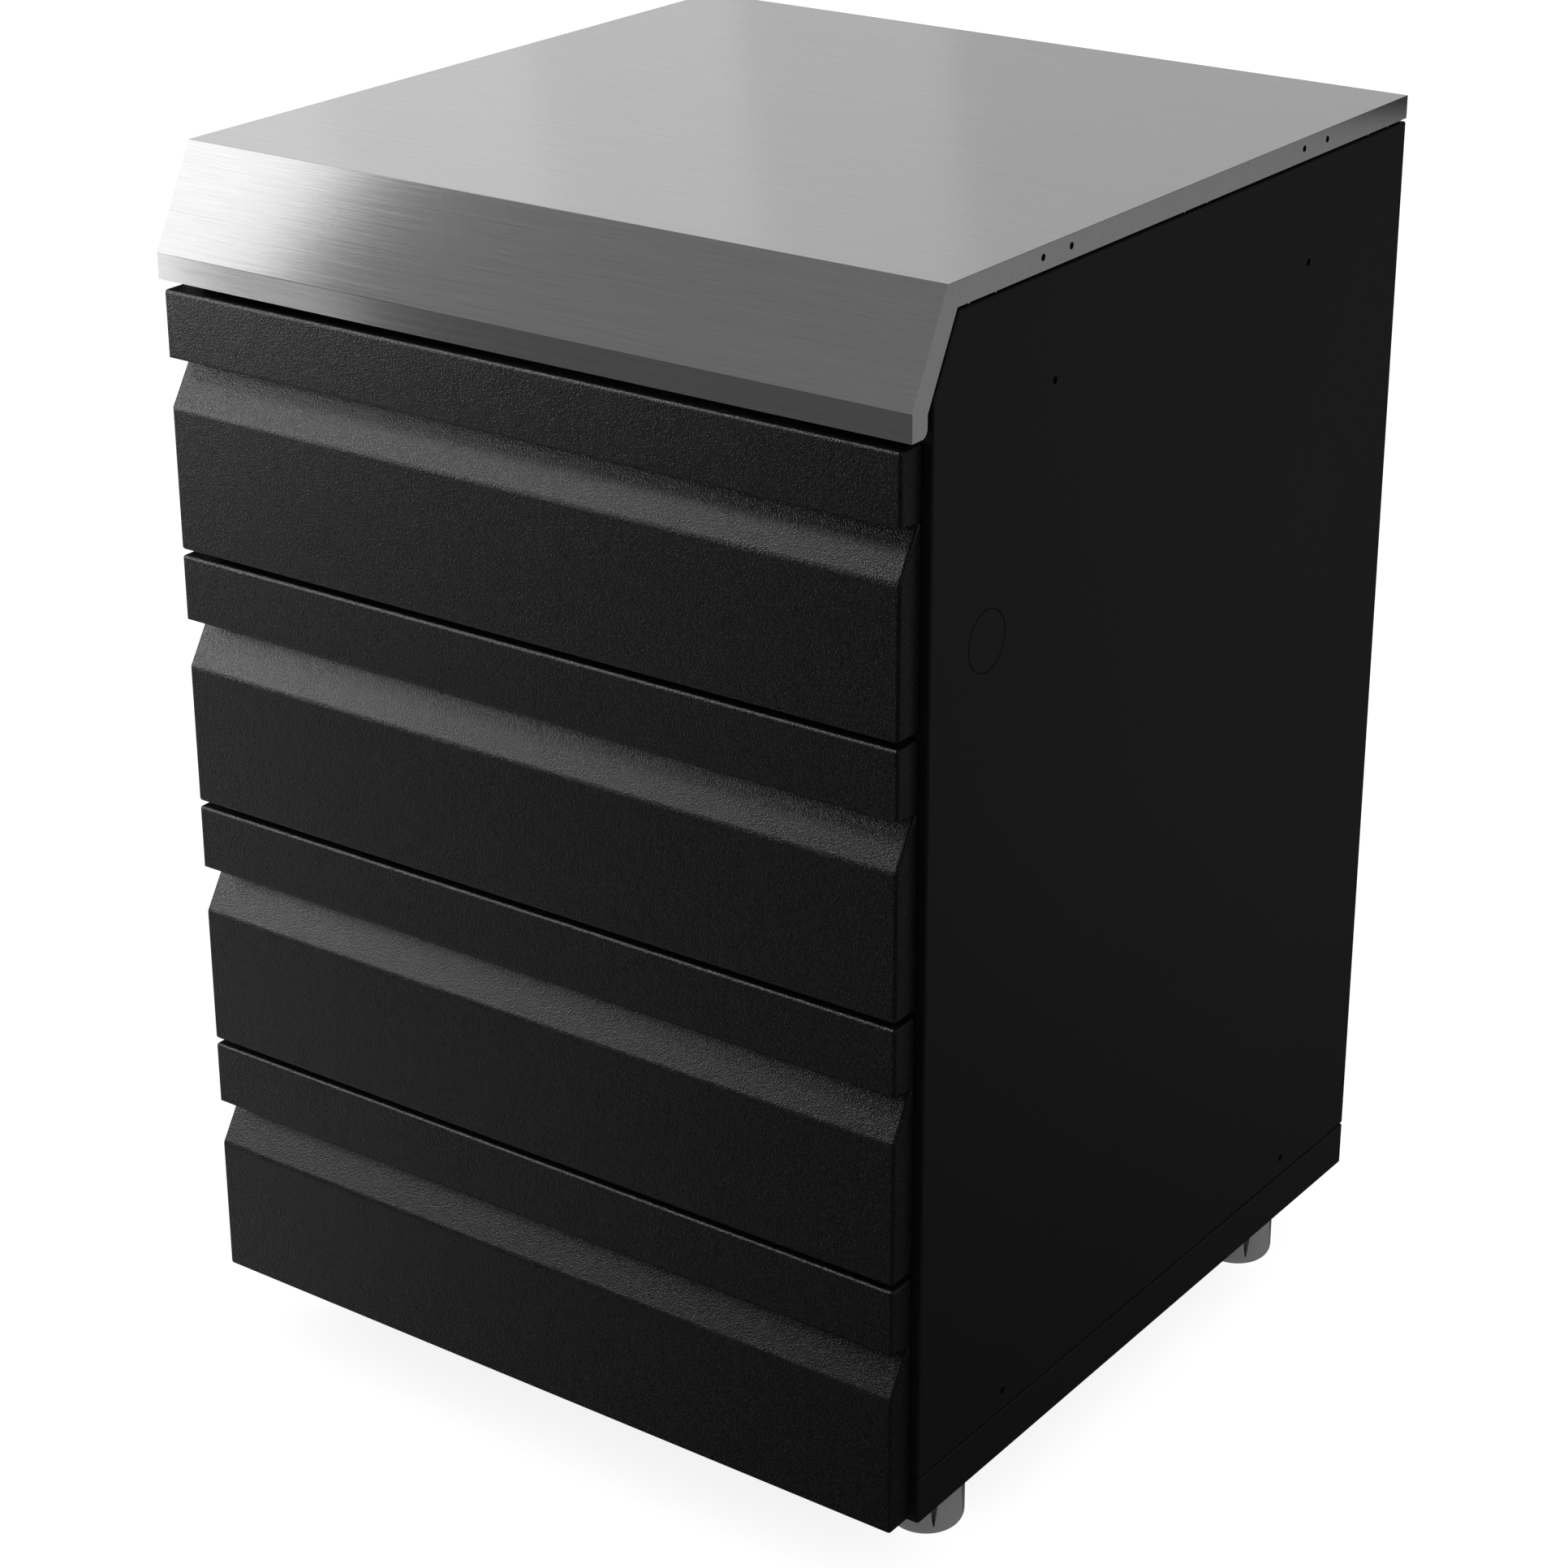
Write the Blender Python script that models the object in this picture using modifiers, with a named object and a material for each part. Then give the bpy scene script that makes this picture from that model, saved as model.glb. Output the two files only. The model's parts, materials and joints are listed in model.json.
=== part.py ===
"""Four-drawer steel cabinet with a brushed stainless worktop cover on levelling feet.

Units are metres and +Z is up. The origin is on the floor, under the middle of the
cabinet. The drawer fronts face -Y, and +X is the right-hand side seen from the front.
"""
import math

import bmesh
import bpy
from mathutils import Matrix, Vector

# ---------------------------------------------------------------- driving dimensions
WIDTH = 0.600                # over the side panels and the worktop cover
DEPTH = 0.614                # drawer fronts to the rear faces
BODY_HEIGHT = 0.838          # underside of the base pan to the worktop
FOOT_HEIGHT = 0.057          # floor to the underside of the base pan
DRAWERS = 4

# worktop cover
COVER_SHEET = 0.0015
COVER_SETBACK = 0.002        # the cover's lip stands this far behind the drawer fronts
SLOPE_HEIGHT = 0.069
SLOPE_RUN = 0.036
LIP_HEIGHT = 0.018
COVER_FLANGE = 0.016         # width of the flange that wraps down each side
COVER_BEND = 0.0025
FLANGE_CORNER = 0.006        # rounded lower corner of the flange, behind the lip
FLANGE_HOLE_RADIUS = 0.0023
FLANGE_HOLE_SPACING = 0.032
FLANGE_HOLE_DROP = 0.0075    # hole centres below the worktop
FLANGE_PAIR_SPACING = 0.325  # middles of the front and rear pairs of holes

# worktop rails, the U-sections that carry the cover
RAIL_WIDTH = 0.030
RAIL_SHEET = 0.0012
RAIL_INSET = 0.024           # from the ends of the flat top to the outer rails

# side panels
PANEL_SHEET = 0.0012
PANEL_RETURN = 0.020         # the folded edge all round the panel
PANEL_CLEARANCE = 0.003      # front edge behind the backs of the drawer fronts
TOP_SEAM = 0.002             # open seam under the cover's flange
SLOPE_SEAM = 0.003
BASE_SEAM = 0.0008
SIDE_HOLE_RADIUS = 0.0025
TOP_HOLE_DROP = 0.088        # upper holes below the worktop
TOP_HOLE_SPACING = 0.322
LOW_HOLE_RISE = 0.016        # lower holes above the base pan
LOW_HOLE_SPACING = 0.387
KNOCKOUT_RADIUS = 0.020
KNOCKOUT_SLIT = 0.0006
KNOCKOUT_TAB = 0.003         # two tabs across the slit hold the knock-out
KNOCKOUT_DROP = 0.235        # below the worktop
KNOCKOUT_SETBACK = 0.0865    # behind the drawer fronts

# base pan
PAN_HEIGHT = 0.033
PAN_SHEET = 0.0015

# uprights, the channels that the slides are screwed to
UPRIGHT_WIDTH = 0.030
UPRIGHT_SHEET = 0.0012
REAR_UPRIGHT_INSET = 0.047   # rear face of the rear uprights to the rear of the cabinet
UPRIGHT_TOP_GAP = 0.017

# drawer fronts
FRONT_SHEET = 0.0015
FRONT_BEND = 0.0008          # inside radius of the folds
FRONT_DEPTH = 0.021
FRONT_INSET = 0.006          # each end of a front inside the cabinet's width
BAND_HEIGHT = 0.0475         # upper band, which hides the finger channel
RECESS_HEIGHT = 0.034        # sloping face under the band
BAND_HEM = 0.0065            # fold back along the lower edge of the band
UPTURN_LAP = 0.013           # upstand behind the lower edge, past the floor of its box
END_PLATE_LEDGE = 0.0002     # the end plates finish this far inside the folded faces
DRAWER_GAP = 0.004
TOP_DRAWER_GAP = 0.0055      # first front below the cover's lip
LOW_DRAWER_RISE = 0.002      # last front above the underside of the base pan

# drawer boxes
BOX_SHEET = 0.0010
BOX_REAR_GAP = 0.045         # rear walls of the boxes to the back panel
BOX_FLOOR_GAP = 0.006        # lowest box above the base pan
BOX_HEAD_GAP = 0.028         # box walls below the top edge of their front

# telescopic slides
SLIDE_INSET = 0.002          # front end of the slides behind the side panels' edges
SLIDE_OVERHANG = 0.0097      # rear end of the slides past the rear walls of the boxes
SLIDE_MIDDLE_SHORTER = 0.030
SLIDE_THICKNESS = 0.0124     # all three members nested
SLIDE_HEIGHT = 0.045
SLIDE_SHEET = 0.0012
SLIDE_BALL_GAP = 0.0015      # between the lips of nested members
SLIDE_LIP_GAP = 0.0006       # lips of the outer members to the inner member's web
SLIDE_NEST_STEP = 0.0022     # each member's web or lip inside the one round it

# levelling feet
FOOT_RADIUS = 0.027
FOOT_PAD_HEIGHT = 0.040
FOOT_EDGE = 0.008            # rounding of the sole's edge
FOOT_CHAMFER = 0.002
FOOT_INSET_SIDE = 0.046
FOOT_INSET_END = 0.079       # from the front and rear of the base pan
FOOT_NOTCHES = 6
NOTCH_WIDTH = 0.009
NOTCH_DEPTH = 0.0065
NOTCH_BOTTOM = 0.009
NOTCH_TURN = math.radians(16)
SPINDLE_RADIUS = 0.005
SPINDLE_BOTTOM = 0.012
SPINDLE_ENGAGED = 0.016      # length inside the socket
SOCKET_RADIUS = 0.014
SOCKET_HEIGHT = 0.028
SOCKET_ROOF = 0.0017

TOUCH = 0.0003               # clearance between pieces that bear on each other
ROUND_STEPS = 40
HOLE_STEPS = 16

# ---------------------------------------------------------------- places that follow
HALF_WIDTH = WIDTH / 2
FRONT = -DEPTH / 2
REAR = DEPTH / 2
BASE = FOOT_HEIGHT
TOP = BASE + BODY_HEIGHT
LIP_FACE = FRONT + COVER_SETBACK
LIP_TOP = TOP - SLOPE_HEIGHT
LIP_BOTTOM = LIP_TOP - LIP_HEIGHT
PANEL_FRONT = FRONT + FRONT_DEPTH + PANEL_CLEARANCE
PANEL_TOP = TOP - COVER_FLANGE - TOP_SEAM
PANEL_BOTTOM = BASE + PAN_HEIGHT + BASE_SEAM
PANEL_MIDDLE = (PANEL_FRONT + REAR) / 2
BACK_PANEL_REAR = REAR - PANEL_SHEET - TOUCH
BACK_PANEL_FRONT = BACK_PANEL_REAR - PANEL_SHEET
INNER_HALF = HALF_WIDTH - PANEL_RETURN
FRONTS_TOP = LIP_BOTTOM - TOP_DRAWER_GAP
FRONTS_BOTTOM = BASE + LOW_DRAWER_RISE
DRAWER_PITCH = (FRONTS_TOP - FRONTS_BOTTOM + DRAWER_GAP) / DRAWERS
FRONT_HEIGHT = DRAWER_PITCH - DRAWER_GAP
BAND_BOTTOM = FRONT_HEIGHT - BAND_HEIGHT
LOWER_PANEL = BAND_BOTTOM - RECESS_HEIGHT
SLIDE_FACE = INNER_HALF - TOUCH
BOX_HALF = SLIDE_FACE - SLIDE_THICKNESS - TOUCH
BOX_FRONT = FRONT + FRONT_DEPTH + TOUCH
BOX_REAR = BACK_PANEL_FRONT - BOX_REAR_GAP
BOX_RISE = PAN_HEIGHT + BOX_FLOOR_GAP - LOW_DRAWER_RISE
BOX_WALL = FRONT_HEIGHT - BOX_HEAD_GAP - BOX_RISE
SLIDE_FRONT = PANEL_FRONT + SLIDE_INSET
SLIDE_LENGTH = BOX_REAR + SLIDE_OVERHANG - SLIDE_FRONT
SLIDE_RISE = BOX_RISE + BOX_WALL / 2

SIDES = (("left", -1), ("right", 1))
ENDS = (("front", PANEL_FRONT + FOOT_INSET_END), ("rear", REAR - FOOT_INSET_END))


# ---------------------------------------------------------------- tools
def new_collection(name):
    made = bpy.data.collections.new(name)
    bpy.context.scene.collection.children.link(made)
    return made


for thing in list(bpy.data.objects):
    bpy.data.objects.remove(thing)
PARTS = new_collection("drawer_cabinet")
CUTTERS = new_collection("cutters")


def finish(name, colour, metallic, roughness):
    """A plain finish for one kind of material."""
    made = bpy.data.materials.new(name)
    made.use_nodes = True
    shader = made.node_tree.nodes["Principled BSDF"]
    shader.inputs["Base Color"].default_value = (*colour, 1)
    shader.inputs["Metallic"].default_value = metallic
    shader.inputs["Roughness"].default_value = roughness
    return made


BRUSHED = finish("brushed_stainless", (0.56, 0.56, 0.57), 1.0, 0.32)
SATIN_BLACK = finish("satin_black_coat", (0.012, 0.012, 0.013), 0.0, 0.45)
TEXTURED_BLACK = finish("textured_black_coat", (0.016, 0.016, 0.017), 0.0, 0.55)
ZINC = finish("zinc_plate", (0.62, 0.63, 0.65), 1.0, 0.38)
GREY_PLASTIC = finish("grey_plastic", (0.24, 0.24, 0.25), 0.0, 0.5)


def offset_path(path, distance):
    """The open path moved sideways, to its left, by distance."""
    moved = []
    for index, point in enumerate(path):
        ahead = path[min(index + 1, len(path) - 1)]
        here = Vector(point[:2])
        sides = []
        if index:
            sides.append(here - Vector(path[index - 1][:2]))
        if index < len(path) - 1:
            sides.append(Vector(ahead[:2]) - here)
        normals = [Vector((-side.y, side.x)).normalized() for side in sides]
        if len(normals) == 2:
            push = (normals[0] + normals[1]) / (1 + normals[0].dot(normals[1]))
        else:
            push = normals[0]
        shifted = here + push * distance
        radius = point[2] if len(point) > 2 else 0
        moved.append((shifted.x, shifted.y, max(radius - distance, 0)))
    return moved


def inset_outline(outline, distance):
    """A closed outline, listed anticlockwise, moved inwards by distance."""
    doubled = [outline[-1], *outline, outline[0]]
    return offset_path(doubled, distance)[1:-1]


def rounded(outline, steps=4):
    """A closed outline of (u, v) or (u, v, radius) with its corners turned into arcs."""
    drawn = []
    count = len(outline)
    for index, corner in enumerate(outline):
        here = Vector(corner[:2])
        radius = corner[2] if len(corner) > 2 else 0
        if radius < 1e-6:
            drawn.append(tuple(here))
            continue
        back = (Vector(outline[index - 1][:2]) - here).normalized()
        on = (Vector(outline[(index + 1) % count][:2]) - here).normalized()
        half_angle = back.angle(on) / 2
        centre = here + (back + on).normalized() * radius / math.sin(half_angle)
        start = here + back * radius / math.tan(half_angle) - centre
        end = here + on * radius / math.tan(half_angle) - centre
        sweep = start.angle_signed(end)
        for step in range(steps + 1):
            turn = Matrix.Rotation(-sweep * step / steps, 2)
            drawn.append(tuple(centre + turn @ start))
    return drawn


def sheet_outline(path, thickness, bend):
    """The edge-on outline of a folded sheet whose one face follows path.

    The sheet lies to the right of the path, and bend is the inside radius of its folds.
    """
    corners = []
    for index, point in enumerate(path):
        if index in (0, len(path) - 1):
            corners.append((*point, 0))
            continue
        before = Vector(point) - Vector(path[index - 1])
        after = Vector(path[index + 1]) - Vector(point)
        turns_right = before.x * after.y - before.y * after.x < 0
        corners.append((*point, bend + thickness * turns_right))
    other_side = []
    for (u, v, _), (_, _, radius) in zip(offset_path([c[:2] for c in corners], -thickness), corners):
        opposite = 0 if radius == 0 else 2 * bend + thickness - radius
        other_side.append((u, v, opposite))
    return corners + other_side[::-1]


AXIS_TURNS = {
    "X": Matrix(((0, 0, 1), (1, 0, 0), (0, 1, 0))).to_4x4(),
    "Y": Matrix(((1, 0, 0), (0, 0, -1), (0, 1, 0))).to_4x4(),
    "Z": Matrix.Identity(4),
}


def new_object(name, mesh, collection=PARTS):
    made = bpy.data.objects.new(name, mesh)
    collection.objects.link(made)
    return made


def slab(name, outline, axis, start, end):
    """A flat outline extruded along an axis: (y, z) along X, (x, z) along Y, (x, y) along Z."""
    curve = bpy.data.curves.new(name, "CURVE")
    curve.dimensions = "2D"
    curve.fill_mode = "BOTH"
    curve.extrude = abs(end - start) / 2
    points = rounded(outline)
    spline = curve.splines.new("POLY")
    spline.points.add(len(points) - 1)
    for knot, (u, v) in zip(spline.points, points):
        knot.co = (u, v, 0, 1)
    spline.use_cyclic_u = True
    drawn = new_object(name + "_outline", curve)
    bpy.context.view_layer.update()
    evaluated = drawn.evaluated_get(bpy.context.evaluated_depsgraph_get())
    mesh = bpy.data.meshes.new_from_object(evaluated)
    bpy.data.objects.remove(drawn)
    shift = Vector((0, 0, 0))
    shift["XYZ".index(axis)] = (start + end) / 2
    solid = bmesh.new()
    solid.from_mesh(mesh)
    bmesh.ops.remove_doubles(solid, verts=solid.verts, dist=1e-6)
    bmesh.ops.transform(solid, matrix=Matrix.Translation(shift) @ AXIS_TURNS[axis], verts=solid.verts)
    bmesh.ops.recalc_face_normals(solid, faces=solid.faces)
    solid.to_mesh(mesh)
    solid.free()
    mesh.name = name
    return new_object(name, mesh)


def block(name, low, high):
    """A box between two corners."""
    size = Vector(high) - Vector(low)
    middle = (Vector(high) + Vector(low)) / 2
    mesh = bpy.data.meshes.new(name)
    solid = bmesh.new()
    place = Matrix.Translation(middle) @ Matrix.Diagonal((*size, 1))
    bmesh.ops.create_cube(solid, size=1, matrix=place)
    solid.to_mesh(mesh)
    solid.free()
    return new_object(name, mesh)


def rod(name, centre, radius, length, axis="Z", steps=HOLE_STEPS):
    """A cylinder about its centre, along an axis."""
    mesh = bpy.data.meshes.new(name)
    solid = bmesh.new()
    place = Matrix.Translation(centre) @ AXIS_TURNS[axis]
    bmesh.ops.create_cone(solid, cap_ends=True, segments=steps, radius1=radius, radius2=radius,
                          depth=length, matrix=place)
    solid.to_mesh(mesh)
    solid.free()
    return new_object(name, mesh)


def turned(name, profile, steps=ROUND_STEPS):
    """A turned piece. Its profile of (radius, height) runs down the outer side."""
    mesh = bpy.data.meshes.new(name)
    wire = bmesh.new()
    knots = [wire.verts.new((radius, 0, height)) for radius, height in profile]
    for upper, lower in zip(knots, knots[1:]):
        wire.edges.new((upper, lower))
    if min(radius for radius, _ in profile) > 0:
        wire.edges.new((knots[-1], knots[0]))
    wire.to_mesh(mesh)
    wire.free()
    made = new_object(name, mesh)
    screw = made.modifiers.new("turn", "SCREW")
    screw.steps = steps
    screw.render_steps = steps
    screw.use_merge_vertices = True
    screw.merge_threshold = 0.00005
    screw.use_smooth_shade = True
    return made


def combine(target, tool, operation):
    """Cut target with tool, or join tool to it. The tool goes wherever the target goes."""
    PARTS.objects.unlink(tool)
    CUTTERS.objects.link(tool)
    tool.hide_render = True
    tool.display_type = "WIRE"
    tool.parent = target
    step = target.modifiers.new(tool.name, "BOOLEAN")
    step.object = tool
    step.operation = operation
    step.solver = "EXACT"


def cut(target, *tools):
    for tool in tools:
        combine(target, tool, "DIFFERENCE")


def shared_mesh(master):
    """The finished mesh of a repeated piece, for its copies to share."""
    bpy.context.view_layer.update()
    evaluated = master.evaluated_get(bpy.context.evaluated_depsgraph_get())
    mesh = bpy.data.meshes.new_from_object(evaluated)
    mesh.name = master.name
    for tool in list(master.children):
        bpy.data.objects.remove(tool)
    bpy.data.objects.remove(master)
    return mesh


def smooth(mesh):
    """Smooth the round faces and keep the real edges."""
    mesh.shade_smooth()
    mesh.set_sharp_from_angle(angle=math.radians(35))


def paint(made, material):
    made.data.materials.clear()
    made.data.materials.append(material)


def anchor(name, place, parent=None):
    """An empty that the pieces of one body hang from."""
    made = bpy.data.objects.new(name, None)
    made.empty_display_size = 0.05
    made.location = place
    made.parent = parent
    PARTS.objects.link(made)
    return made


def fit(made, body, place=(0, 0, 0)):
    made.parent = body
    made.location = place


# ---------------------------------------------------------------- worktop
def worktop_cover(cabinet):
    """One folded sheet: flat top, sloping front, short lip, and a flange down each side."""
    outside = [
        (REAR, TOP),
        (LIP_FACE + SLOPE_RUN, TOP, COVER_BEND),
        (LIP_FACE, LIP_TOP, COVER_BEND),
        (LIP_FACE, LIP_BOTTOM),
    ]
    flange_edge = [point[:2] for point in offset_path(outside, COVER_FLANGE)]
    lower_corner = (*flange_edge[-1], FLANGE_CORNER)
    cover = slab("worktop_cover", outside + [lower_corner] + flange_edge[-2::-1], "X",
                 -HALF_WIDTH, HALF_WIDTH)

    below = TOP - 2 * COVER_FLANGE
    skin = [(REAR, below), *outside[:-1], (LIP_FACE, LIP_BOTTOM + COVER_SHEET)]
    hollow = offset_path(skin, COVER_SHEET)
    inner_face = LIP_FACE + SLOPE_RUN + COVER_FLANGE
    floor = LIP_BOTTOM + COVER_SHEET
    hollow[-1] = (hollow[-1][0], floor)
    hollow += [(inner_face, floor), (inner_face, below)]
    inner_half = HALF_WIDTH - COVER_SHEET
    cut(cover, slab("cover_hollow", hollow, "X", -inner_half, inner_half))

    height = TOP - FLANGE_HOLE_DROP
    for pair in (-1, 1):
        for hole in (-1, 1):
            along = PANEL_MIDDLE + pair * FLANGE_PAIR_SPACING / 2 + hole * FLANGE_HOLE_SPACING / 2
            cut(cover, rod("flange_hole", (0, along, height), FLANGE_HOLE_RADIUS, 2 * WIDTH, "X"))
    paint(cover, BRUSHED)
    fit(cover, cabinet)


def worktop_rails(cabinet):
    """Three U-sections across the cabinet, between the side panels and the cover's skin."""
    low = PANEL_TOP + TOUCH
    high = TOP - COVER_SHEET - TOUCH
    half_length = HALF_WIDTH - COVER_SHEET - TOUCH
    front = LIP_FACE + SLOPE_RUN + RAIL_INSET
    rear = REAR - RAIL_INSET - RAIL_WIDTH
    rail = block("worktop_rail", (-half_length, 0, low), (half_length, RAIL_WIDTH, high))
    cut(rail, block("rail_hollow", (-WIDTH, RAIL_SHEET, low - RAIL_WIDTH),
                    (WIDTH, RAIL_WIDTH - RAIL_SHEET, high - RAIL_SHEET)))
    mesh = shared_mesh(rail)
    for name, place in (("front", front), ("middle", (front + rear) / 2), ("rear", rear)):
        made = new_object(f"worktop_rail_{name}", mesh)
        paint(made, ZINC)
        fit(made, cabinet, (0, place, 0))


# ---------------------------------------------------------------- casing
def side_outline():
    """The side panel's outline, which follows the cover's flange with an open seam."""
    run = Vector((-SLOPE_RUN, -SLOPE_HEIGHT))
    flange_corner = offset_path([(REAR, TOP), (LIP_FACE + SLOPE_RUN, TOP), (LIP_FACE, LIP_TOP)],
                                COVER_FLANGE)[1]
    seam_shift = SLOPE_SEAM * run.length / SLOPE_HEIGHT
    on_slope = Vector((flange_corner[0] + seam_shift, flange_corner[1]))
    slope_top = on_slope + run * (on_slope.y - PANEL_TOP) / SLOPE_HEIGHT
    slope_foot = on_slope + run * (on_slope.x - PANEL_FRONT) / SLOPE_RUN
    return [(PANEL_FRONT, PANEL_BOTTOM), (REAR, PANEL_BOTTOM), (REAR, PANEL_TOP),
            tuple(slope_top), tuple(slope_foot)]


def ring_of_points(centre, radius, turns):
    return [(centre[0] + radius * math.cos(turn), centre[1] + radius * math.sin(turn))
            for turn in turns]


def knockout_slits(name, side):
    """The slit round a knock-out, in two halves with a tab between them at each end."""
    centre = (FRONT + KNOCKOUT_SETBACK, TOP - KNOCKOUT_DROP)
    tab_angle = KNOCKOUT_TAB / KNOCKOUT_RADIUS
    steps = ROUND_STEPS // 2
    slits = []
    for half in (0, 1):
        start = math.pi * half + tab_angle / 2
        turns = [start + (math.pi - tab_angle) * step / steps for step in range(steps + 1)]
        outline = ring_of_points(centre, KNOCKOUT_RADIUS + KNOCKOUT_SLIT, turns)
        outline += ring_of_points(centre, KNOCKOUT_RADIUS, turns[::-1])
        slits.append(slab(f"{name}_knockout_slit", outline, "X",
                          side * INNER_HALF, side * (HALF_WIDTH + PANEL_SHEET)))
    return slits


def side_panel(cabinet, name, side):
    """A pan of sheet steel: the plate, with its edges folded in all round."""
    outline = side_outline()
    face = side * HALF_WIDTH
    panel = slab(f"{name}_side_panel", outline, "X", side * INNER_HALF, face)
    cut(panel, slab(f"{name}_panel_hollow", inset_outline(outline, PANEL_SHEET), "X",
                    side * (INNER_HALF - PANEL_RETURN), face - side * PANEL_SHEET))
    holes = []
    for height, spacing in ((TOP - TOP_HOLE_DROP, TOP_HOLE_SPACING),
                            (BASE + PAN_HEIGHT + LOW_HOLE_RISE, LOW_HOLE_SPACING)):
        for end in (-1, 1):
            holes.append((face, PANEL_MIDDLE + end * spacing / 2, height))
    for place in holes:
        cut(panel, rod(f"{name}_panel_hole", place, SIDE_HOLE_RADIUS, PANEL_RETURN, "X"))
    cut(panel, *knockout_slits(name, side))
    paint(panel, SATIN_BLACK)
    fit(panel, cabinet)


def back_panel(cabinet):
    """A flat sheet held behind the side panels' rear folds."""
    half = HALF_WIDTH - PANEL_SHEET - TOUCH
    panel = block("back_panel", (-half, BACK_PANEL_FRONT, PANEL_BOTTOM + PANEL_SHEET + TOUCH),
                  (half, BACK_PANEL_REAR, PANEL_TOP - PANEL_SHEET - TOUCH))
    paint(panel, SATIN_BLACK)
    fit(panel, cabinet)


def foot_places():
    for end, along in ENDS:
        for name, side in SIDES:
            yield f"{end}_{name}", Vector((side * (HALF_WIDTH - FOOT_INSET_SIDE), along, 0))


def base_pan(cabinet):
    """The floor of the cabinet, with a skirt folded down all round."""
    roof = BASE + PAN_HEIGHT
    pan = block("base_pan", (-HALF_WIDTH, PANEL_FRONT, BASE), (HALF_WIDTH, REAR, roof))
    cut(pan, block("pan_hollow", (-HALF_WIDTH + PAN_SHEET, PANEL_FRONT + PAN_SHEET, 0),
                   (HALF_WIDTH - PAN_SHEET, REAR - PAN_SHEET, roof - PAN_SHEET)))
    paint(pan, SATIN_BLACK)
    fit(pan, cabinet)


def uprights(cabinet):
    """Four channels inside the side panels, which the slides are screwed to."""
    low = PANEL_BOTTOM + PANEL_SHEET + TOUCH
    high = LIP_TOP - UPRIGHT_TOP_GAP
    wall = HALF_WIDTH - PANEL_SHEET - TOUCH
    front = PANEL_FRONT + PANEL_SHEET + TOUCH
    rear = REAR - REAR_UPRIGHT_INSET - UPRIGHT_WIDTH
    for name, side in SIDES:
        near, far = sorted((side * INNER_HALF, side * wall))
        channel = block("upright", (near, 0, low), (far, UPRIGHT_WIDTH, high))
        web = side * (INNER_HALF + UPRIGHT_SHEET)
        near, far = sorted((web, side * WIDTH))
        cut(channel, block("upright_hollow", (near, UPRIGHT_SHEET, 0),
                           (far, UPRIGHT_WIDTH - UPRIGHT_SHEET, TOP)))
        mesh = shared_mesh(channel)
        for end, place in (("front", front), ("rear", rear)):
            made = new_object(f"upright_{end}_{name}", mesh)
            paint(made, ZINC)
            fit(made, cabinet, (0, place, 0))


# ---------------------------------------------------------------- drawers
def close_ends(sheet, plate):
    """Join a plate to each end of a folded sheet."""
    half = HALF_WIDTH - FRONT_INSET
    for side in (-1, 1):
        outer, inner = side * (half - END_PLATE_LEDGE), side * (half - FRONT_SHEET)
        outline = inset_outline(plate, END_PLATE_LEDGE)
        combine(sheet, slab("end_plate", outline, "X", inner, outer), "UNION")


def drawer_front_mesh():
    """The lower sheet of a front: upstand, panel, sloping face and the wall behind the band.

    Local Y is measured back from the front face and local Z up from the lower edge.
    """
    wall = FRONT_DEPTH - FRONT_SHEET
    path = [
        (FRONT_DEPTH, BOX_RISE + UPTURN_LAP),
        (FRONT_DEPTH, 0),
        (0, 0),
        (0, LOWER_PANEL),
        (wall, BAND_BOTTOM),
        (wall, FRONT_HEIGHT - FRONT_SHEET - TOUCH),
    ]
    half = HALF_WIDTH - FRONT_INSET
    front = slab("drawer_front", sheet_outline(path, FRONT_SHEET, FRONT_BEND), "X", -half, half)
    corner = FRONT_BEND + FRONT_SHEET
    close_ends(front, [
        (0, 0, corner), (FRONT_DEPTH, 0, corner), (FRONT_DEPTH, BAND_BOTTOM),
        (wall + FRONT_BEND, BAND_BOTTOM), (0, LOWER_PANEL, corner)])
    return shared_mesh(front)


def drawer_band_mesh():
    """The upper sheet of a front, welded over the wall: top fold, band and hem.

    It is measured from the same corner as the lower sheet.
    """
    wall = FRONT_DEPTH - FRONT_SHEET
    path = [
        (FRONT_DEPTH, FRONT_HEIGHT - FRONT_SHEET),
        (FRONT_SHEET, FRONT_HEIGHT - FRONT_SHEET),
        (FRONT_SHEET, BAND_BOTTOM + FRONT_SHEET),
        (FRONT_SHEET + BAND_HEM, BAND_BOTTOM + FRONT_SHEET),
    ]
    half = HALF_WIDTH - FRONT_INSET
    band = slab("drawer_band", sheet_outline(path, FRONT_SHEET, FRONT_BEND), "X", -half, half)
    corner = FRONT_BEND + FRONT_SHEET
    close_ends(band, [
        (0, BAND_BOTTOM, corner), (wall - TOUCH, BAND_BOTTOM),
        (wall - TOUCH, FRONT_HEIGHT), (0, FRONT_HEIGHT, corner)])
    return shared_mesh(band)


def drawer_box_mesh():
    """An open box of sheet steel. Local Y starts at its front wall and local Z at its floor."""
    depth = BOX_REAR - BOX_FRONT
    box = block("drawer_box", (-BOX_HALF, 0, 0), (BOX_HALF, depth, BOX_WALL))
    cut(box, block("box_hollow", (-BOX_HALF + BOX_SHEET, BOX_SHEET, BOX_SHEET),
                   (BOX_HALF - BOX_SHEET, depth - BOX_SHEET, BOX_WALL + BOX_SHEET)))
    return shared_mesh(box)


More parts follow.
